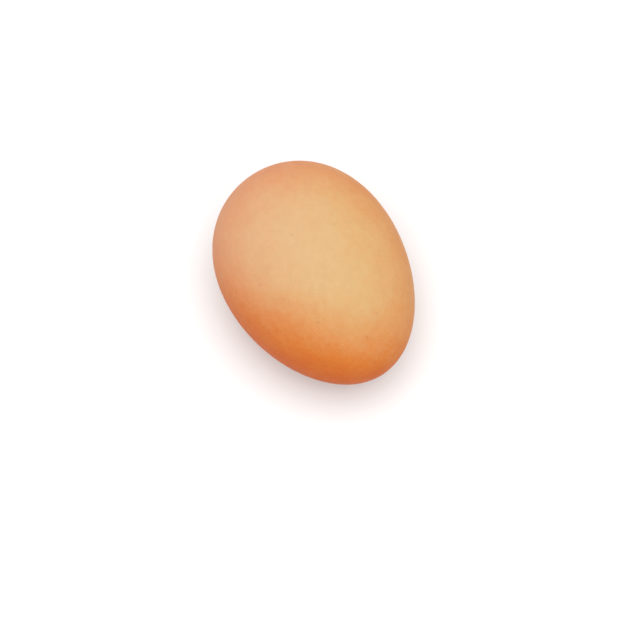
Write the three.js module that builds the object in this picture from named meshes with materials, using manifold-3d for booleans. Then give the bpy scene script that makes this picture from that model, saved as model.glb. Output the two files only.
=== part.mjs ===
// A hen's egg lying on its side, the way it comes to rest on a table.
// It is one closed solid: a body of revolution about its long axis, with a small flat spot under it.
// Millimetres, +Z up. The origin is the middle of the flat spot, straight under the centre of
// gravity. The pointed end looks along +X and sinks a little, as it does on a real egg.

import * as THREE from "three";
import { mergeVertices } from "three/addons/utils/BufferGeometryUtils.js";
import Module from "manifold-3d";

const wasm = await Module();
wasm.setup();

// Driving dimensions.
const LENGTH = 57; // from pole to pole
const BREADTH = 44; // across the widest circle
const WIDEST_FROM_MIDDLE = 2.8; // from mid-length to the widest circle, towards the blunt end
const SPOT_DEPTH = 0.3; // how much of the underside the flat spot takes away

// How finely the smooth surface is divided.
const RINGS = 40; // from pole to pole
const SEGMENTS = 64; // around the long axis
const BALANCE_STEPS = 2000; // points tried when the balance is worked out

const CREAM_BROWN = new THREE.Color().setRGB(0.86, 0.62, 0.42, THREE.SRGBColorSpace);

// The egg curve: the radius at a distance x from mid-length, with the pointed end at positive x.
// It is an ellipse whose breadth is divided by a term that grows towards the pointed end.
function radiusAt(x) {
  const w = WIDEST_FROM_MIDDLE;
  const ellipse = Math.max(LENGTH ** 2 - 4 * x ** 2, 0);
  return (BREADTH / 2) * Math.sqrt(ellipse / (LENGTH ** 2 + 8 * w * x + 4 * w ** 2));
}

// Points along the curve from the blunt pole to the pointed one, closer together at the poles.
function eggCurve(steps) {
  return Array.from({ length: steps + 1 }, (_, i) => {
    const x = (-LENGTH / 2) * Math.cos((Math.PI * i) / steps);
    const atPole = i === 0 || i === steps;
    return { x, r: atPole ? 0 : radiusAt(x) };
  });
}

// How the egg lies. A solid lies still on the point of its surface nearest to its centre of gravity,
// because there it can't sink any lower. An egg's centre of gravity is a little to the pointed side
// of its widest circle, where the surface already narrows, so that point is a little further still
// towards the pointed end, and the pointed end tips down.
function balance() {
  const curve = eggCurve(BALANCE_STEPS);
  let volume = 0;
  let moment = 0;
  for (let i = 1; i < curve.length; i += 1) {
    const thickness = curve[i].x - curve[i - 1].x;
    const x = (curve[i].x + curve[i - 1].x) / 2;
    const slice = radiusAt(x) ** 2 * thickness;
    volume += slice;
    moment += x * slice;
  }
  const centre = moment / volume;
  const reach = (p) => Math.hypot(p.x - centre, p.r);
  const touch = curve.reduce((best, p) => (reach(p) < reach(best) ? p : best));
  return { centre, height: reach(touch), tilt: Math.atan2(touch.x - centre, touch.r) };
}

// A three.js geometry as a manifold-3d solid, for cutting.
function toSolid(geometry) {
  const bare = geometry.clone();
  bare.deleteAttribute("normal");
  bare.deleteAttribute("uv");
  const merged = mergeVertices(bare);
  return new wasm.Manifold(
    new wasm.Mesh({
      numProp: 3,
      vertProperties: merged.attributes.position.array,
      triVerts: new Uint32Array(merged.index.array),
    }),
  );
}

// A manifold-3d solid as a three.js geometry again.
function toGeometry(solid) {
  const mesh = solid.getMesh();
  const geometry = new THREE.BufferGeometry();
  geometry.setAttribute("position", new THREE.BufferAttribute(mesh.vertProperties, 3));
  geometry.setIndex(new THREE.BufferAttribute(mesh.triVerts, 1));
  geometry.computeVertexNormals();
  return geometry;
}

// The whole egg about its long axis, which runs along X, with its centre of gravity at the origin.
function wholeEgg(centre) {
  const outline = eggCurve(RINGS).map((p) => new THREE.Vector2(p.r, p.x));
  return new THREE.LatheGeometry(outline, SEGMENTS)
    .rotateZ(-Math.PI / 2)
    .translate(-centre, 0, 0);
}

// Everything below the table top, as a block that is larger than the egg.
function underTheTable() {
  const side = 2 * LENGTH;
  return new THREE.BoxGeometry(side, side, side).translate(0, 0, -side / 2);
}

// The egg is cut where it rests, in its own tilted frame, and then laid on the table.
function makeEgg() {
  const { centre, height, tilt } = balance();
  const egg = new THREE.Mesh();
  egg.name = "egg";
  egg.rotation.y = tilt;
  egg.position.z = height - SPOT_DEPTH;
  egg.updateMatrix();
  const table = underTheTable().applyMatrix4(egg.matrix.clone().invert());
  egg.geometry = toGeometry(toSolid(wholeEgg(centre)).subtract(toSolid(table)));
  egg.material = new THREE.MeshStandardMaterial({
    color: CREAM_BROWN,
    roughness: 0.55,
    metalness: 0,
  });
  return egg;
}

const part = new THREE.Group();
part.add(makeEgg());

export default part;
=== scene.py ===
# %% [markdown]
# # A brown hen's egg, lying on its side
# A hen's egg is one closed shell of chalk, a third of a millimetre thick, with a thin coat of brown
# pigment on it. It has no edge, no seam and no flat side, so everything that the eye reads on it
# is slow: the egg curve itself, the way that the brown deepens round it, and a satin, finely pored
# skin. It is made here in four steps: read the egg's measures off the frame, which is the packed
# model that the first lines bring in; grow a smooth surface from them; lay a finish on it in coats,
# as the hen does; and light it.

# %% Bring in the frame
import math

import bmesh
import bpy
import numpy as np
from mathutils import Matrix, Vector
from mathutils.bvhtree import BVHTree


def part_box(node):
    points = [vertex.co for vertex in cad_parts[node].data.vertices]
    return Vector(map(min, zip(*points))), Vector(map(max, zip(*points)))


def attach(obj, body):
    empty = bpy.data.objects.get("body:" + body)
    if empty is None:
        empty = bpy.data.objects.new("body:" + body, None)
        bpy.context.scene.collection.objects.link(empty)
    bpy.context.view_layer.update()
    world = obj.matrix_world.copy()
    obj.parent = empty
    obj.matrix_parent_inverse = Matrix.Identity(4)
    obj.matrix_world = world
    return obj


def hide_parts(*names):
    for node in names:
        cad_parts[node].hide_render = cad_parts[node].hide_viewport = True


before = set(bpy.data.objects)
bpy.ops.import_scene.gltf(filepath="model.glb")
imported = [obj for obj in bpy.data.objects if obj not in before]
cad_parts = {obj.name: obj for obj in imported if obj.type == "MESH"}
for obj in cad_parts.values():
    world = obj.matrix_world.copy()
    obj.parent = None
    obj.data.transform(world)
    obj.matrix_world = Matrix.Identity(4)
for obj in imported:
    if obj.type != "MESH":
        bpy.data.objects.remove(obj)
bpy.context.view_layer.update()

scene = bpy.context.scene
MM = 0.001  # Blender works in metres here, so a millimetre is this much
print("frame nodes:", sorted(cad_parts))

# %% [markdown]
# ## The camera
# A camera that is pushed into place by hand drifts whenever the egg changes. This one is placed by
# what one would say aloud: so far round the egg, so high above the table, so far away, and with the
# egg so far off the middle of the picture. It looks down from above, as one looks into a bowl,
# through a portrait lens, which keeps the near end of a small thing from swelling.

# %% Where the camera stands
AZIMUTH = math.radians(56.7)  # how far round the egg, from the -Y side
ELEVATION = math.radians(75.4)  # how high above the horizon
DISTANCE = 360.4 * MM
RIGHT_OF_EGG = 0.7 * MM  # from the middle of the egg to the middle of the picture
BELOW_EGG = 10.95 * MM
LENS, SENSOR, NEAREST_SEEN = 85.0, 36.0, 0.01

low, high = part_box("egg")
egg_middle = (low + high) / 2
to_camera = Vector((
    math.sin(AZIMUTH) * math.cos(ELEVATION),
    -math.cos(AZIMUTH) * math.cos(ELEVATION),
    math.sin(ELEVATION),
))
picture_right = Vector((math.cos(AZIMUTH), math.sin(AZIMUTH), 0.0))
picture_up = to_camera.cross(picture_right)
aim = egg_middle + picture_right * RIGHT_OF_EGG - picture_up * BELOW_EGG
print("camera aims at, mm:", tuple(round(c / MM, 1) for c in aim))

# %% Place the camera
camera = bpy.data.objects.new("camera", bpy.data.cameras.new("camera"))
scene.collection.objects.link(camera)
camera.data.lens = LENS
camera.data.sensor_width = SENSOR
camera.data.clip_start = NEAREST_SEEN
camera.location = aim + to_camera * DISTANCE
camera.rotation_euler = to_camera.to_track_quat("Z", "Y").to_euler()
scene.camera = camera
print("camera at, mm:", tuple(round(c / MM, 1) for c in camera.location))

# %% [markdown]
# ## Reading the egg's measures off the frame
# The frame holds the same egg as a coarse mesh of flat faces. Its points lie exactly on the true
# surface, so the true measures could be typed in a second time, or read back from the points.
# Reading them back means that the smooth egg always fits the frame, whatever its size. The two
# poles are the two points that are furthest apart, and the line between them is the long axis.

# %% Find the poles and the long axis
cad_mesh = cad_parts["egg"].data
points = np.array([v.co for v in cad_mesh.vertices])
furthest = points[np.argmax(np.linalg.norm(points - points.mean(axis=0), axis=1))]
other = points[np.argmax(np.linalg.norm(points - furthest, axis=1))]
blunt_pole, pointed_pole = sorted((furthest, other), key=lambda pole: pole[0])
length = float(np.linalg.norm(pointed_pole - blunt_pole))
axis = (pointed_pole - blunt_pole) / length
mid_length = (blunt_pole + pointed_pole) / 2
tilt = math.atan2(-axis[2], axis[0])
print(f"length {length / MM:.2f} mm, pointed end {math.degrees(tilt):.2f} degrees low")

# %% [markdown]
# ## The egg rule
# The outline of an egg follows a short rule. It starts as an ellipse with the length L and the
# breadth B, and its breadth is divided by a term that grows towards the pointed end, which moves
# the widest circle by w towards the blunt end:
#
#     r(x)^2 = (B/2)^2 * (L^2 - 4 x^2) / (L^2 + 8 w x + 4 w^2)
#
# With L as the unit of length and a for (B/2)^2, it can be turned round into the straight line
#
#     (1 - 4 x^2) / r^2 = (1 + 4 w^2) / a + (8 w / a) x
#
# so a straight line through the frame's points gives B and w. Points near the poles say little
# about the breadth, and those of the flat spot aren't on the curve, so both are left out.

# %% Fit the egg rule to the frame's points
NEAR_POLE = 0.2  # of the largest radius
FLAT_SPOT_TOP = 1.0 * MM

along = (points - mid_length) @ axis
radius = np.linalg.norm(points - mid_length - np.outer(along, axis), axis=1)
on_curve = (radius > NEAR_POLE * radius.max()) & (points[:, 2] > FLAT_SPOT_TOP)
x, r = along[on_curve] / length, radius[on_curve] / length
slope, height = np.polyfit(x, (1 - 4 * x**2) / r**2, 1)
a = 2 / (height + math.sqrt(height**2 - slope**2 / 4))
breadth = 2 * length * math.sqrt(a)
blunt_shift = length * float(slope) * a / 8
print(f"breadth {breadth / MM:.2f} mm, widest circle {blunt_shift / MM:.2f} mm off mid-length")

# %% [markdown]
# ## Helpers for node trees
# The egg's surface is made by Geometry Nodes and its finish by shader nodes. Both are trees of
# small boxes with wires between them. They could be drawn by hand in Blender's editor, but a script
# can be read, changed and run again. These two helpers add a box, and give a socket a wire or
# a plain value. The boxes are laid out in reading order, so the tree can be followed in the editor.

# %% Add a node, feed a socket
COLUMN_WIDTH, ROW_HEIGHT, NODES_IN_A_ROW = 190, 260, 10


def add_node(tree, kind, **options):
    """Adds one node after the ones already there, and sets its own options."""
    node = tree.nodes.new(kind)
    row, column = divmod(len(tree.nodes) - 1, NODES_IN_A_ROW)
    node.location = (COLUMN_WIDTH * column, -ROW_HEIGHT * row)
    for name, value in options.items():
        setattr(node, name, value)
    return node


def feed(tree, socket, source):
    """Gives a socket another node's output, or a plain value."""
    if isinstance(source, bpy.types.NodeSocket):
        tree.links.new(source, socket)
    else:
        socket.default_value = source


print("nodes in rows of", NODES_IN_A_ROW)

# %% [markdown]
# ## The egg's surface
# The egg could be a sphere that is pulled by hand, or half an outline that is spun round. A sphere
# has no rule behind it, and a spun outline crowds its faces at the two poles, where they pinch the
# shine. Geometry Nodes keep the rule itself: a cube with a fine grid on each side is blown up to
# a ball of nearly even squares, and each point of the ball is then moved to where the egg rule
# wants it. The tree takes every size by name, so that the same tree can grow another egg.

# %% Name the sizes that the surface takes
surface = bpy.data.node_groups.new("egg_surface", "GeometryNodeTree")
surface.is_modifier = True
surface.interface.new_socket("Geometry", in_out="OUTPUT", socket_type="NodeSocketGeometry")
surface_settings = {
    # name: (kind of socket, value)
    "Length": ("NodeSocketFloat", length),
    "Breadth": ("NodeSocketFloat", breadth),
    "Blunt Shift": ("NodeSocketFloat", blunt_shift),
    "Points Along Side": ("NodeSocketInt", 129),
    "Swell Height": ("NodeSocketFloat", 0.05 * MM),
    "Swell Width": ("NodeSocketFloat", 22 * MM),
    "Peel Height": ("NodeSocketFloat", 0.018 * MM),
    "Peel Width": ("NodeSocketFloat", 1.9 * MM),
    "Pimple Height": ("NodeSocketFloat", 0.035 * MM),
    "Pimple Spacing": ("NodeSocketFloat", 5.0 * MM),
    "Seed": ("NodeSocketInt", 7),
    "Tilt": ("NodeSocketFloat", tilt),
    "Mid Length": ("NodeSocketVector", tuple(mid_length)),
    "Table Height": ("NodeSocketFloat", low.z),
    "Shell Material": ("NodeSocketMaterial", None),
}
identifiers = {}
for name, (kind, _) in surface_settings.items():
    socket = surface.interface.new_socket(name, in_out="INPUT", socket_type=kind)
    identifiers[name] = socket.identifier
inputs = add_node(surface, "NodeGroupInput").outputs
print("surface inputs:", ", ".join(surface_settings))

# %% [markdown]
# ## A cube blown up to an even ball
# The egg needs faces of nearly one size all over, so that its relief is equally fine everywhere.
# Blowing a cube straight up to a ball crowds the squares at its corners. Taking the tangent of the
# points first spreads them evenly by angle, which is the same trick that sky maps use. Sums like
# these take one node each, so they get helpers too.

# %% Helpers for sums in a tree
def maths(tree, operation, *values):
    """One Math node. Returns its result."""
    node = add_node(tree, "ShaderNodeMath", operation=operation)
    for socket, value in zip(node.inputs, values):
        feed(tree, socket, value)
    return node.outputs["Value"]


def vector_maths(tree, operation, *values, result="Vector"):
    """One Vector Math node. Returns its result, a vector unless result says Value."""
    node = add_node(tree, "ShaderNodeVectorMath", operation=operation)
    for socket, value in zip(node.inputs, values):
        feed(tree, socket, value)
    return node.outputs[result]


def scaled(tree, vector, by):
    """A vector, longer or shorter."""
    node = add_node(tree, "ShaderNodeVectorMath", operation="SCALE")
    feed(tree, node.inputs["Vector"], vector)
    feed(tree, node.inputs["Scale"], by)
    return node.outputs["Vector"]


print("helpers for sums: maths, vector_maths, scaled")

# %% The ball
BALL_CUBE = (2.0, 2.0, 2.0)  # from -1 to 1 each way
cube = add_node(surface, "GeometryNodeMeshCube")
feed(surface, cube.inputs["Size"], BALL_CUBE)
for side in ("Vertices X", "Vertices Y", "Vertices Z"):
    feed(surface, cube.inputs[side], inputs["Points Along Side"])
on_cube = add_node(surface, "GeometryNodeInputPosition").outputs["Position"]
by_angle = vector_maths(surface, "TANGENT", scaled(surface, on_cube, math.pi / 4))
on_ball = vector_maths(surface, "NORMALIZE", by_angle)
on_ball_parts = add_node(surface, "ShaderNodeSeparateXYZ")
feed(surface, on_ball_parts.inputs["Vector"], on_ball)
print("faces on the ball:", 6 * (surface_settings["Points Along Side"][1] - 1) ** 2)

# %% [markdown]
# ## The ball becomes an egg
# On the ball, the egg rule becomes short. A ball point at x is stretched to half the length along
# the axis, and to half the breadth across it, divided by the root of 1 + 4 q (x + q), where q is
# the blunt shift as a share of the length. With q at 0 this would be a plain ellipsoid, so the
# whole difference between a rugby ball and an egg is in that one number.

# %% Stretch the ball by the egg rule
q = maths(surface, "DIVIDE", inputs["Blunt Shift"], inputs["Length"])
x_and_q = maths(surface, "ADD", on_ball_parts.outputs["X"], q)
four_q = maths(surface, "MULTIPLY", q, 4.0)
narrowing = maths(surface, "INVERSE_SQRT", maths(surface, "MULTIPLY_ADD", four_q, x_and_q, 1.0))
half_length = maths(surface, "MULTIPLY", inputs["Length"], 0.5)
widest = maths(surface, "MULTIPLY", inputs["Breadth"], 0.5)
half_breadth = maths(surface, "MULTIPLY", widest, narrowing)
reach = add_node(surface, "ShaderNodeCombineXYZ")
for socket, size in zip(reach.inputs, (half_length, half_breadth, half_breadth)):
    feed(surface, socket, size)
egg_form = add_node(surface, "GeometryNodeSetPosition")
feed(surface, egg_form.inputs["Geometry"], cube.outputs["Mesh"])
feed(surface, egg_form.inputs["Position"],
     vector_maths(surface, "MULTIPLY", on_ball, reach.outputs["Vector"]))
print(f"q is {blunt_shift / length:.3f}")

# %% [markdown]
# ## Relief in the shell: swell and peel
# A real shell is not a perfect figure. It swells and sinks by a twentieth of a millimetre over
# a thumb's width, and has the faint waves of orange peel. Both could be left to the material as
# a bump, but a bump is lost in a print or a cast. So both move the points along the surface's
# normal, and only the finer grain is left to the material. Each is a soft noise of its own width.

# %% A helper for soft clouds
SEED_STEP = 100.0  # noises with different seeds are read this far apart


def cloud(tree, where, width, seed, detail=2.0):
    """Soft random patches about as wide as width, as a number from about -1 to 1."""
    shift = seed if isinstance(seed, bpy.types.NodeSocket) else (SEED_STEP * seed, 0.0, 0.0)
    node = add_node(tree, "ShaderNodeTexNoise")
    feed(tree, node.inputs["Vector"], vector_maths(tree, "ADD", where, shift))
    feed(tree, node.inputs["Scale"], maths(tree, "DIVIDE", 1.0, width))
    feed(tree, node.inputs["Detail"], detail)
    return maths(tree, "MULTIPLY_ADD", node.outputs["Fac"], 2.0, -1.0)


print("clouds with different seeds are read", SEED_STEP, "apart")

# %% Swell and peel
place = add_node(surface, "GeometryNodeInputPosition").outputs["Position"]
swell = cloud(surface, place, inputs["Swell Width"], inputs["Seed"], detail=0.0)
peel = cloud(surface, place, inputs["Peel Width"], inputs["Seed"], detail=1.0)
relief = maths(surface, "MULTIPLY", swell, inputs["Swell Height"])
relief = maths(surface, "MULTIPLY_ADD", peel, inputs["Peel Height"], relief)
deepest = surface_settings["Swell Height"][1] + surface_settings["Peel Height"][1]
print(f"relief from swell and peel: up to {deepest / MM:.2f} mm either way")

# %% [markdown]
# ## Relief in the shell: pimples
# Here and there a grain of chalk stands up under the skin as a low pimple. They could be scattered
# over the surface one by one, but then all would be alike. A Voronoi texture scatters points
# through space and says how far the nearest one is. The surface cuts through that space, so it
# passes some points closely and misses others: this alone makes pimples of all sizes, and few.

# %% Pimples
PIMPLE_REACH = 0.16  # of the spacing
grains = add_node(surface, "ShaderNodeTexVoronoi", voronoi_dimensions="4D")
feed(surface, grains.inputs["Vector"], place)
feed(surface, grains.inputs["W"], inputs["Seed"])
feed(surface, grains.inputs["Scale"], maths(surface, "DIVIDE", 1.0, inputs["Pimple Spacing"]))
closeness = add_node(surface, "ShaderNodeMapRange", interpolation_type="SMOOTHERSTEP")
feed(surface, closeness.inputs["Value"], grains.outputs["Distance"])
feed(surface, closeness.inputs["From Min"], PIMPLE_REACH)
feed(surface, closeness.inputs["From Max"], 0.0)
pimple = closeness.outputs["Result"]
relief = maths(surface, "MULTIPLY_ADD", pimple, inputs["Pimple Height"], relief)

raised = add_node(surface, "GeometryNodeSetPosition")
outwards = add_node(surface, "GeometryNodeInputNormal").outputs["Normal"]
feed(surface, raised.inputs["Geometry"], egg_form.outputs["Geometry"])
feed(surface, raised.inputs["Offset"], scaled(surface, outwards, relief))
widest_pimple = 2 * PIMPLE_REACH * surface_settings["Pimple Spacing"][1]
print(f"pimples up to {widest_pimple / MM:.1f} mm wide")

# %% [markdown]
# ## Laying the egg down
# An egg on a table lies on its side, and its pointed end sinks a little. Its centre of gravity lies
# just to the pointed side of the widest circle, where the shell already narrows, so it tips over
# that way until it can't sink any further. So far the egg is level, round its own middle. Turning
# the finished object would be simpler, but the frame wants each piece's place to be in its mesh.
# So the tree tips the egg and moves it to where the frame has it.

# %% Tip and place
laid = add_node(surface, "GeometryNodeTransform")
turn = add_node(surface, "ShaderNodeCombineXYZ")
feed(surface, turn.inputs["Y"], inputs["Tilt"])
feed(surface, laid.inputs["Geometry"], raised.outputs["Geometry"])
feed(surface, laid.inputs["Translation"], inputs["Mid Length"])
feed(surface, laid.inputs["Rotation"], turn.outputs["Vector"])
print(f"tipped {math.degrees(tilt):.2f} degrees")

# %% [markdown]
# ## The flat spot
# A real egg touches the table in a point. The part rests on a small flat spot instead, as if the
# egg were pressed into soft paper. The spot could be cut off and closed again. It is simpler to
# lift every point that would be under the table top up to it, and the mesh stays closed by itself.

# %% Press it on the table
lying = add_node(surface, "ShaderNodeSeparateXYZ")
feed(surface, lying.inputs["Vector"],
     add_node(surface, "GeometryNodeInputPosition").outputs["Position"])
resting = add_node(surface, "ShaderNodeCombineXYZ")
feed(surface, resting.inputs["X"], lying.outputs["X"])
feed(surface, resting.inputs["Y"], lying.outputs["Y"])
feed(surface, resting.inputs["Z"],
     maths(surface, "MAXIMUM", lying.outputs["Z"], inputs["Table Height"]))
pressed = add_node(surface, "GeometryNodeSetPosition")
feed(surface, pressed.inputs["Geometry"], laid.outputs["Geometry"])
feed(surface, pressed.inputs["Position"], resting.outputs["Vector"])
print(f"table height {low.z / MM:.2f} mm")

# %% [markdown]
# ## Closing the tree
# A shell has no facets, so its faces are shaded as one smooth skin. The tree then ends as every
# such tree should: it makes anything that is only a copy real, and gives the mesh its material.

# %% Smooth shading, real mesh, material
smooth = add_node(surface, "GeometryNodeSetShadeSmooth")
real = add_node(surface, "GeometryNodeRealizeInstances")
coated = add_node(surface, "GeometryNodeSetMaterial")
outlet = add_node(surface, "NodeGroupOutput")
feed(surface, smooth.inputs["Geometry"], pressed.outputs["Geometry"])
feed(surface, real.inputs["Geometry"], smooth.outputs["Geometry"])
feed(surface, coated.inputs["Geometry"], real.outputs["Geometry"])
feed(surface, coated.inputs["Material"], inputs["Shell Material"])
feed(surface, outlet.inputs["Geometry"], coated.outputs["Geometry"])
print("surface tree:", len(surface.nodes), "nodes")

# %% [markdown]
# ## The finish: how a brown egg gets its colour
# The chalk of the shell is white. In its last hours in the hen, brown pigment is laid on from
# outside, more on one flank than on another, so one number says almost everything about the colour
# at a place: how much pigment lies there. Here that number also carries painted light and shade:
# it is lower where the egg faces up, and higher round its sides and underneath, with painted shade
# and painted reflected orange light on one lower flank. The whole look could be a picture wrapped
# round the egg, but that would stretch at the poles. Here the number is built up in layers from
# patterns that fill space, and a colour ramp turns it into a colour at the end. The patterns are
# measured in millimetres along the egg's own axis, so a Mapping node first undoes the egg's tilt
# and puts the zero point at mid-length.

# %% Start the finish in the egg's own millimetres
eggshell = bpy.data.materials.new("brown_eggshell")
eggshell.use_nodes = True
finish = eggshell.node_tree
finish.nodes.clear()
own = add_node(finish, "ShaderNodeMapping", vector_type="TEXTURE")
feed(finish, own.inputs["Vector"], add_node(finish, "ShaderNodeTexCoord").outputs["Object"])
feed(finish, own.inputs["Location"], tuple(mid_length))
feed(finish, own.inputs["Rotation"], (0.0, tilt, 0.0))
feed(finish, own.inputs["Scale"], (MM, MM, MM))
on_shell = own.outputs["Vector"]
print("pattern centre, mm:", tuple(round(float(c) / MM, 2) for c in mid_length))

# %% [markdown]
# ## Saying where a place lies on the egg
# The brown deepens slowly from this egg's top, painted paler as painted light, to one of its lower
# flanks, painted deeper as painted shade and painted reflected orange light over the shell's own
# brown, so the finish has to know on which side of the egg a place lies. The surface's normal would
# tell, but it carries every small bump too. The place itself, divided by the egg's half sizes, is
# a point on a ball, and its share along a direction runs evenly from 1, right under that direction,
# to -1 on the far side. A soft fade then turns that number into a share of pigment.

# %% Sides and fades
half_sizes = (length / 2 / MM, breadth / 2 / MM, breadth / 2 / MM)
on_unit_ball = vector_maths(finish, "DIVIDE", on_shell, half_sizes)


def facing(direction):
    """How far a place lies towards a direction: 1 right under it, -1 on the far side."""
    unit = tuple(Vector(direction).normalized())
    return vector_maths(finish, "DOT_PRODUCT", on_unit_ball, unit, result="Value")


def fade(tree, value, start, end, amount=1.0):
    """0 where value is at start, rising softly to amount where it is at end."""
    node = add_node(tree, "ShaderNodeMapRange", interpolation_type="SMOOTHSTEP")
    feed(tree, node.inputs["Value"], value)
    feed(tree, node.inputs["From Min"], start)
    feed(tree, node.inputs["From Max"], end)
    feed(tree, node.inputs["To Max"], amount)
    return node.outputs["Result"]


def added(tree, under, layer, amount):
    """One more layer on what is there already, in the given amount."""
    return maths(tree, "MULTIPLY_ADD", layer, amount, under)


print("half sizes, mm:", tuple(round(size, 2) for size in half_sizes))

# %% [markdown]
# ## The large change: a lit top and a deep, shaded flank
# The side of the egg that faces up is painted paler, as painted light, and the shell deepens away
# from it round the sides and underneath, as painted shade. One lower flank is deeper still, as
# painted shade and painted reflected orange light over the shell's own brown. So there are five
# fades: two away from the lit top, slow at first and quicker over the sides, one towards the deep
# flank, one towards a smaller, richer patch above it, and a weak one towards the blunt end. Alone
# they would look sprayed on by a machine, so a wide cloud lets their edges drift by a few
# millimetres first.

# %% Which sides are pale and deep
# the side that faces up: painted light makes it paler, and painted shade deepens the shell away
# from it
LIT_TOP = (0.05, -0.06, 1.0)
# the deep flank: painted shade and painted reflected orange light, partly the shell's own brown
DEEP_SHADED_FLANK = (0.65, -0.68, -0.34)
RICH_PATCH = (0.42, -0.52, 0.74)
BLUNT_END = (-0.84, 0.55, 0.0)
DRIFT = (14.0, 1.3)  # width in mm, seed
EDGE_DRIFT = 0.10

drift = cloud(finish, on_shell, *DRIFT)
toward_lit_top, toward_shaded_flank, patch, blunt_end = (
    added(finish, facing(direction), drift, EDGE_DRIFT)
    for direction in (LIT_TOP, DEEP_SHADED_FLANK, RICH_PATCH, BLUNT_END)
)
print("edges drift over patches", DRIFT[0], "mm wide")

# %% Lay on the large change
THIN_COAT = 0.10  # the pigment that lies everywhere
FADES = (
    # measured along, no pigment at, all of it at, amount
    # the first two rows: painted light on the top, painted shade round the sides and underneath
    (toward_lit_top, 1.05, 0.41, 0.30),
    (toward_lit_top, 0.5, 0.0, 0.08),
    # painted shade and painted reflected orange light on the deep flank, partly the shell's own
    # brown
    (toward_shaded_flank, -0.2, 1.0, 0.45),
    (patch, 0.88, 1.0, 0.09),
    (blunt_end, 0.0, 1.05, 0.08),
)
pigment = THIN_COAT
for side, start, end, amount in FADES:
    pigment = maths(finish, "ADD", fade(finish, side, start, end, amount), pigment)
print("a thin coat of", THIN_COAT, "and fades of", ", ".join(str(row[-1]) for row in FADES))

# %% [markdown]
# ## The middle change: clouds, mottling and stipple
# Seen from a hand's breadth away, the brown is uneven at every scale: clouds as wide as a pencil,
# mottling of a millimetre or two, and a stipple as fine as sand where the droplets dried. In one
# noise with many octaves their strengths would hang together. Three noises, each with its own width
# and amount, can be balanced one by one.

# %% Clouds, mottling and stipple
CLOUDS = (
    # width in mm, amount of pigment, seed, detail
    (6.0, 0.08, 4.1, 2.0),
    (1.6, 0.08, 8.2, 2.0),
    (0.4, 0.06, 2.7, 1.0),
)
for width, amount, seed, detail in CLOUDS:
    pigment = added(finish, pigment, cloud(finish, on_shell, width, seed, detail), amount)
print("clouds, mm wide:", ", ".join(str(width) for width, *_ in CLOUDS))

# %% [markdown]
# ## The small change: scattered dots
# A shell also has marks that stand apart from each other: pores, grains and freckles. They could be
# painted or scattered as small meshes, but there are thousands, most no wider than a grain of salt.
# They are the same trick as the pimples: points scattered through space, which the surface cuts
# more or less closely. Each point also has its own random colour, and one part of it serves as its
# luck, for marks that aren't all equally strong.

# %% A helper for scattered dots
CORE = 0.3  # of a dot's reach: inside it the dot is at its full strength


def dots(tree, where, spacing, reach, seed):
    """Dots of up to reach in radius: 1 in the middle and 0 outside, and the luck of each."""
    node = add_node(tree, "ShaderNodeTexVoronoi")
    feed(tree, node.inputs["Vector"], vector_maths(tree, "ADD", where, (seed, seed, seed)))
    feed(tree, node.inputs["Scale"], 1 / spacing)
    luck = add_node(tree, "ShaderNodeSeparateColor")
    feed(tree, luck.inputs["Color"], node.outputs["Color"])
    rim = reach / spacing
    return fade(tree, node.outputs["Distance"], rim, CORE * rim), luck.outputs["Red"]


print("dots are at full strength inside", CORE, "of their reach")

# %% [markdown]
# ## Pores and chalk grains
# A shell breathes through thousands of pores, which show as pinholes with a darker rim, and between
# them sit pale grains of bare chalk. Both change the pigment here, and both come back in the relief
# of the skin, so that colour and shape agree.

# %% Pores and chalk grains
PORES = (0.7, 0.14, 50.0)  # spacing and reach in mm, seed
CHALK_GRAINS = (0.8, 0.24, 90.0)
PORE_PIGMENT, CHALK_PIGMENT = 0.10, -0.08  # more and less pigment than around them

pores, _ = dots(finish, on_shell, *PORES)
chalk_grains, _ = dots(finish, on_shell, *CHALK_GRAINS)
pigment = added(finish, pigment, pores, PORE_PIGMENT)
pigment = added(finish, pigment, chalk_grains, CHALK_PIGMENT)
print("pores up to", 2 * PORES[1], "mm wide, grains up to", 2 * CHALK_GRAINS[1], "mm wide")

# %% [markdown]
# ## Freckles
# Here and there a drop of pigment dried as a freckle. Drops aren't perfect discs, so the place is
# pushed about a little before the dots are read, and their luck decides how dark each one is. They
# are kept apart from the pigment, because they are a duller brown than the coat around them.

# %% A helper for places that wobble
def wobbled(tree, where, width, by, seed):
    """A place pushed about at random, by up to about the given distance."""
    node = add_node(tree, "ShaderNodeTexNoise")
    feed(tree, node.inputs["Vector"], vector_maths(tree, "ADD", where, (seed, seed, seed)))
    feed(tree, node.inputs["Scale"], 1 / width)
    push = vector_maths(tree, "SUBTRACT", node.outputs["Color"], (0.5, 0.5, 0.5))
    return vector_maths(tree, "ADD", where, scaled(tree, push, 2 * by))


WOBBLE = (0.7, 0.2, 12.0)  # width and distance in mm, seed
dried_place = wobbled(finish, on_shell, *WOBBLE)
print("the edges of the drops wander by up to", WOBBLE[1], "mm")

# %% Freckles
FRECKLES = (2.8, 0.50, 30.0)  # spacing and reach in mm, seed
UNSEEN, DARKEST = 0.55, 1.0  # the luck of a drop that doesn't show, and of the darkest
DARKEST_FRECKLE = 0.24

drops, luck = dots(finish, dried_place, *FRECKLES)
darkness = fade(finish, luck, UNSEEN, DARKEST, DARKEST_FRECKLE)
freckles = maths(finish, "MULTIPLY", drops, darkness)
print("freckles up to", 2 * FRECKLES[1], "mm wide, at most", DARKEST_FRECKLE, "strong")

# %% [markdown]
# ## From pigment to colour
# Brown pigment on white chalk doesn't just get darker as it gets thicker. It takes the blue out of
# the light first, then the green, and hardly any red, so a thin coat is cream, a thicker one
# apricot, and the thickest a warm orange brown. Mixing white and brown would go through dull beige.
# A ramp with a stop at each step says what really happens. Colours are written as they are picked
# on a screen, and turned into the light values that Blender works in.

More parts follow.
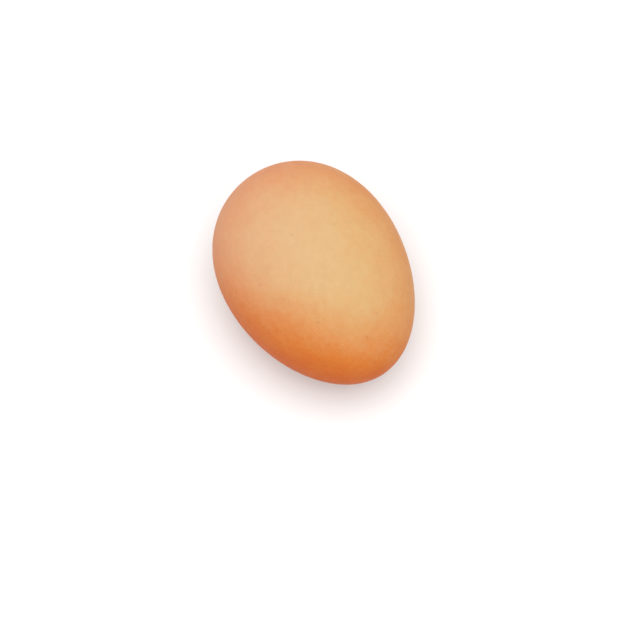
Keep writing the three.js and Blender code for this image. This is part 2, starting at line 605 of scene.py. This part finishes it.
# %% The colour ramp
def from_screen(red, green, blue):
    """A colour as picked on a screen, 0 to 255, as the light values that Blender works in."""
    def light(value):
        # The screen's own curve: a short straight foot, and then a power.
        value /= 255
        return value / 12.92 if value <= 0.04045 else ((value + 0.055) / 1.055) ** 2.4
    return light(red), light(green), light(blue), 1.0


SHELL_COLOURS = {
    # amount of pigment: colour
    0.0: from_screen(205, 172, 124),
    0.14: from_screen(204, 166, 115),
    0.32: from_screen(205, 153, 99),
    0.5: from_screen(206, 136, 78),
    0.68: from_screen(204, 116, 48),
    0.86: from_screen(199, 97, 33),
    1.0: from_screen(188, 86, 30),
}
ramp = add_node(finish, "ShaderNodeValToRGB")
feed(finish, ramp.inputs["Fac"], pigment)
stops = ramp.color_ramp.elements
while len(stops) < len(SHELL_COLOURS):
    stops.new(0.5)  # put in its place below
for stop, (amount, colour) in zip(stops, SHELL_COLOURS.items()):
    stop.position, stop.color = amount, colour
print("ramp stops:", [round(stop.position, 2) for stop in stops])

# %% [markdown]
# ## Bloom, freckles and greying
# Over the pigment lies the bloom, a dry film that seals the pores. Where it is thick, here round
# the blunt end, it veils the brown with a dull pink. The freckles go on next, and last a faint,
# uneven greying takes the candy look off. Each is one Mix node over the colour so far. That node
# has sockets of the same name for numbers and colours, so the helper picks them by identifier.

# %% A helper for one coat over another
def coated_with(tree, share, under, over, how="MIX"):
    """One colour over another: only under where share is 0, only over where it is 1."""
    node = add_node(tree, "ShaderNodeMix", data_type="RGBA", blend_type=how)
    sockets = {socket.identifier: socket for socket in (*node.inputs, *node.outputs)}
    feed(tree, sockets["Factor_Float"], share)
    feed(tree, sockets["A_Color"], under)
    feed(tree, sockets["B_Color"], over)
    return sockets["Result_Color"]


print("coats: one Mix node each")

# %% The bloom's share
BLOOM_SIDE = (-0.80, -0.55, 0.0)
BLOOM_STARTS, BLOOM_IS_THICK = -0.4, 1.05  # along the bloom side
NO_BLOOM, FREE_BLOOM = 1.0, -0.1  # along the deep flank, which it keeps off
THICKEST_BLOOM = 0.28

near_side = fade(finish, facing(BLOOM_SIDE), BLOOM_STARTS, BLOOM_IS_THICK, THICKEST_BLOOM)
off_shaded_flank = fade(finish, toward_shaded_flank, NO_BLOOM, FREE_BLOOM)
bloom = maths(finish, "MULTIPLY", near_side, off_shaded_flank)
print("bloom at most", THICKEST_BLOOM)

# %% The greying's share
GREY_CLOUD = (2.2, 3.9)  # width in mm, seed
GREYING, UNEVENNESS = 0.14, 0.18

grey_cloud = cloud(finish, on_shell, *GREY_CLOUD, detail=3.0)
greying = added(finish, GREYING, grey_cloud, UNEVENNESS)
print("greying", GREYING, "on average, up to", UNEVENNESS, "more or less")

# %% Lay the coats on
DULL_PINK = from_screen(209, 150, 140)
FRECKLE_BROWN = from_screen(140, 84, 54)
WARM_GREY = (0.80, 0.78, 0.76, 1.0)
shell_colour = coated_with(finish, bloom, ramp.outputs["Color"], DULL_PINK)
shell_colour = coated_with(finish, freckles, shell_colour, FRECKLE_BROWN)
shell_colour = coated_with(finish, greying, shell_colour, WARM_GREY, how="MULTIPLY")
print("coats over the pigment: bloom, freckles, greying")

# %% [markdown]
# ## The skin: nearly matt
# An eggshell is nearly matt. Its crystals scatter most of the light, and the bloom gives a wide,
# weak shine on top. A plastic shine would turn the egg's rim white, so the gloss is set low, and
# the roughness, a middling one, changes a little from place to place.

# %% Colour and shine
SHINE_CLOUD = (3.0, 7.7)  # width in mm, seed
ROUGHNESS, UNEVEN_SHINE = 0.54, 0.06
GLOSS, CHALKINESS = 0.08, 0.2

skin = add_node(finish, "ShaderNodeBsdfPrincipled")
roughness = added(finish, ROUGHNESS, cloud(finish, on_shell, *SHINE_CLOUD), UNEVEN_SHINE)
feed(finish, skin.inputs["Base Color"], shell_colour)
feed(finish, skin.inputs["Roughness"], roughness)
feed(finish, skin.inputs["Specular IOR Level"], GLOSS)
feed(finish, skin.inputs["Diffuse Roughness"], CHALKINESS)
print("gloss", GLOSS, "and roughness", ROUGHNESS, "give or take", UNEVEN_SHINE)

# %% [markdown]
# ## The skin: fine grain
# The finest relief on a shell is a grain of hundredths of a millimetre. As real points it would
# need millions of faces, so it is a bump, which only turns the normals. The pores go in with it
# and the chalk grains stand out of it. Heights are in millimetres, as everything in the finish.

# %% Fine relief
GRAIN = (0.5, 6.6)  # width in mm, seed
GRAIN_HEIGHT, PORE_DEPTH, CHALK_HEIGHT = 0.008, 0.02, 0.006

fine_relief = maths(finish, "MULTIPLY", cloud(finish, on_shell, *GRAIN), GRAIN_HEIGHT)
fine_relief = added(finish, fine_relief, pores, -PORE_DEPTH)
fine_relief = added(finish, fine_relief, chalk_grains, CHALK_HEIGHT)
print("fine relief, mm: grain", GRAIN_HEIGHT, "pores", PORE_DEPTH, "chalk", CHALK_HEIGHT)

# %% Finish the skin
bump = add_node(finish, "ShaderNodeBump")
feed(finish, bump.inputs["Height"], fine_relief)
feed(finish, bump.inputs["Distance"], MM)
feed(finish, bump.inputs["Strength"], 1.0)
feed(finish, skin.inputs["Normal"], bump.outputs["Normal"])
shell_outlet = add_node(finish, "ShaderNodeOutputMaterial")
feed(finish, shell_outlet.inputs["Surface"], skin.outputs["BSDF"])
print("shell finish:", len(finish.nodes), "nodes")

# %% [markdown]
# ## Making the egg
# A Geometry Nodes tree does nothing until an object wears it. A holder with an empty mesh does so
# here for a moment: it takes the sizes, Blender works the tree out, and the result is kept as
# a plain mesh with no modifier left on it. That mesh already has its place in it, so its object
# stays at the origin. The holder's own empty material slot comes along first, and is dropped.

# %% Work out the tree and keep the mesh
holder = bpy.data.objects.new("egg_holder", bpy.data.meshes.new("egg_holder"))
scene.collection.objects.link(holder)
surface_settings["Shell Material"] = ("NodeSocketMaterial", eggshell)
growing = holder.modifiers.new("egg surface", "NODES")
growing.node_group = surface
for name, (_, value) in surface_settings.items():
    growing[identifiers[name]] = value
depsgraph = bpy.context.evaluated_depsgraph_get()
egg_mesh = bpy.data.meshes.new_from_object(holder.evaluated_get(depsgraph), depsgraph=depsgraph)
holder.modifiers.remove(growing)
bpy.data.objects.remove(holder)
egg_mesh.materials.pop(index=0)
egg = bpy.data.objects.new("hens_egg", egg_mesh)
scene.collection.objects.link(egg)
print("egg:", len(egg_mesh.polygons), "faces in", egg_mesh.materials[0].name)

# %% [markdown]
# ## Checking the egg
# Two things can go wrong without showing. The smooth egg could lie beside the frame's egg, and its
# faces could point inwards. The first shows in the distance from each of the frame's points to the
# new surface, which should be a few hundredths of a millimetre, the relief and no more. The second
# shows in the volume, which comes out negative when a mesh is inside out.

# %% Measure it against the frame
surface_finder = BVHTree.FromPolygons([v.co for v in egg_mesh.vertices],
                                      [p.vertices[:] for p in egg_mesh.polygons])
gaps = [surface_finder.find_nearest(Vector(point))[3] / MM for point in points]
print(f"gap to the frame's points: mean {np.mean(gaps):.3f} mm, largest {max(gaps):.3f} mm")

# %% Measure its volume
CUBIC_CENTIMETRE = 0.01**3
solid = bmesh.new()
solid.from_mesh(egg_mesh)
open_edges = sum(1 for edge in solid.edges if not edge.is_manifold)
volume = solid.calc_volume(signed=True) / CUBIC_CENTIMETRE
solid.free()
print(f"volume {volume:.2f} cm3, open edges {open_edges}")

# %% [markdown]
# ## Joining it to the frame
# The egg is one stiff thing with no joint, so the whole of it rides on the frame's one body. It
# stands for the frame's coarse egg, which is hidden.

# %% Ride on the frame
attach(egg, "root")
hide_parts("egg")
print("hens_egg rides on root and stands for egg")

# %% [markdown]
# ## The studio: the floor
# The egg lies on a sheet of pale paper, so wide that its far edge is out of sight from any angle.
# It could be pure white, but a white sheet throws too much light up under the egg and flattens it,
# so it is a little grey, and the light makes it white.

# %% Lay the floor
HALF_SHEET = 30.0  # metres
PALE_PAPER, PAPER_ROUGHNESS = (0.80, 0.80, 0.80, 1.0), 0.8

corners = [(x_side * HALF_SHEET, y_side * HALF_SHEET, 0.0)
           for x_side, y_side in ((-1, -1), (1, -1), (1, 1), (-1, 1))]
floor_mesh = bpy.data.meshes.new("floor")
floor_mesh.from_pydata(corners, [], [(0, 1, 2, 3)])
floor = bpy.data.objects.new("floor", floor_mesh)
scene.collection.objects.link(floor)

paper = bpy.data.materials.new("pale_paper")
paper.use_nodes = True
sheet = paper.node_tree.nodes["Principled BSDF"]
sheet.inputs["Base Color"].default_value = PALE_PAPER
sheet.inputs["Roughness"].default_value = PAPER_ROUGHNESS
floor_mesh.materials.append(paper)
print("floor:", 2 * HALF_SHEET, "m square")

# %% [markdown]
# ## The studio: the sky
# Most of the soft light in a studio's light tent comes from all round. The sky does that here. It
# is white at the horizon, where it stands in for a backdrop, and dimmer overhead, because a lamp
# does the work there.

# %% Sky
HORIZON_LIGHT, OVERHEAD_LIGHT = 1.05, 0.40
DIMS_FROM, DIMS_TO = 0.06, 0.24  # how high above the horizon, as a share of straight up
WHITE = (1.0, 1.0, 1.0, 1.0)

world = bpy.data.worlds.new("studio")
scene.world = world
world.use_nodes = True
sky = world.node_tree
background = sky.nodes["Background"]
rise = add_node(sky, "ShaderNodeSeparateXYZ")
dimming = add_node(sky, "ShaderNodeMapRange")
feed(sky, rise.inputs["Vector"], add_node(sky, "ShaderNodeTexCoord").outputs["Generated"])
feed(sky, dimming.inputs["Value"], rise.outputs["Z"])
feed(sky, dimming.inputs["From Min"], DIMS_FROM)
feed(sky, dimming.inputs["From Max"], DIMS_TO)
feed(sky, dimming.inputs["To Min"], HORIZON_LIGHT)
feed(sky, dimming.inputs["To Max"], OVERHEAD_LIGHT)
feed(sky, background.inputs["Color"], WHITE)
feed(sky, background.inputs["Strength"], dimming.outputs["Result"])
print("sky:", HORIZON_LIGHT, "at the horizon and", OVERHEAD_LIGHT, "overhead")

# %% [markdown]
# ## The studio: the overhead light
# Soft light has no edge to its shadows, because it comes from a wide source. A wide lamp close
# above the egg would do, but it would light a pool on the paper and leave the rest grey. A sun lamp
# lights everything evenly, and a sun sixty degrees wide is as soft as a bright overcast sky.

# %% Overhead light
LAMP_STRENGTH = 3.2
LAMP_WIDTH = math.radians(60)
TO_LAMP = Vector((0.05, -0.03, 1.0))  # almost straight up

overhead = bpy.data.lights.new("overhead light", "SUN")
overhead.energy = LAMP_STRENGTH
overhead.angle = LAMP_WIDTH
lamp = bpy.data.objects.new("overhead light", overhead)
lamp.rotation_euler = TO_LAMP.to_track_quat("Z", "Y").to_euler()
scene.collection.objects.link(lamp)
scene.view_settings.view_transform = "Standard"
print("overhead light", round(math.degrees(overhead.angle)), "degrees wide")
